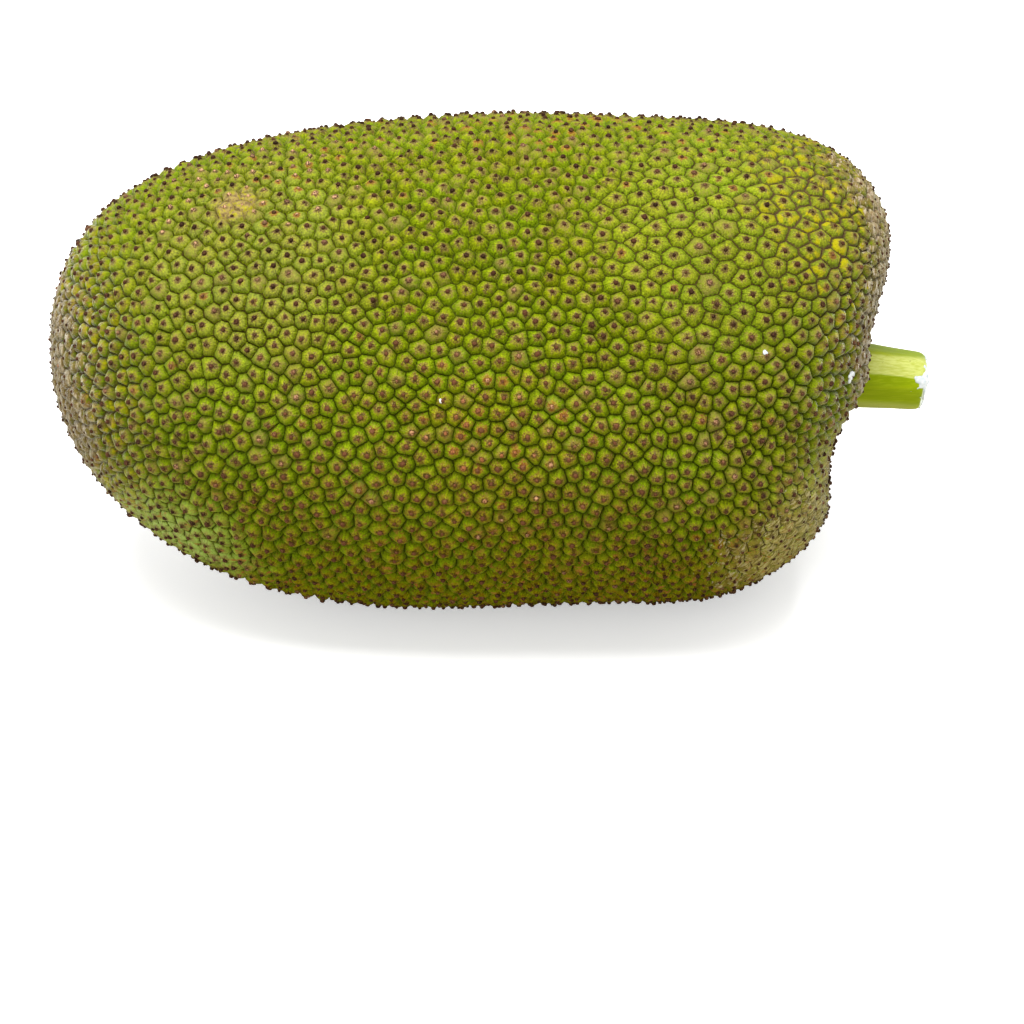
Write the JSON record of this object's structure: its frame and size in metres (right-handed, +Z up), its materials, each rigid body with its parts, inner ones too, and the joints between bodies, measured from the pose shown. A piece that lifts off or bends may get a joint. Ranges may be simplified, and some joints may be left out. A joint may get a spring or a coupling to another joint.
{
  "type": "whole jackfruit",
  "caption": "Whole jackfruit lying on its belly: a long oval fruit covered all over in small blunt cones, with a cut stalk in the hollow of its broad shoulder end",
  "frame": {"origin": "under the middle of the bounding box, on the ground that the fruit lies on", "axes": "+X along the fruit towards its stalk, +Z up, the side shown in the picture faces -Y"},
  "size_m": [0.4212, 0.2378, 0.2401],
  "materials": {
    "rind": "matt yellow-green plant rind",
    "green_stem": "smooth fresh green stem, dull satin"
  },
  "bodies": {
    "root": {"fruit": "rind", "stalk": "green_stem"}
  },
  "joints": []
}
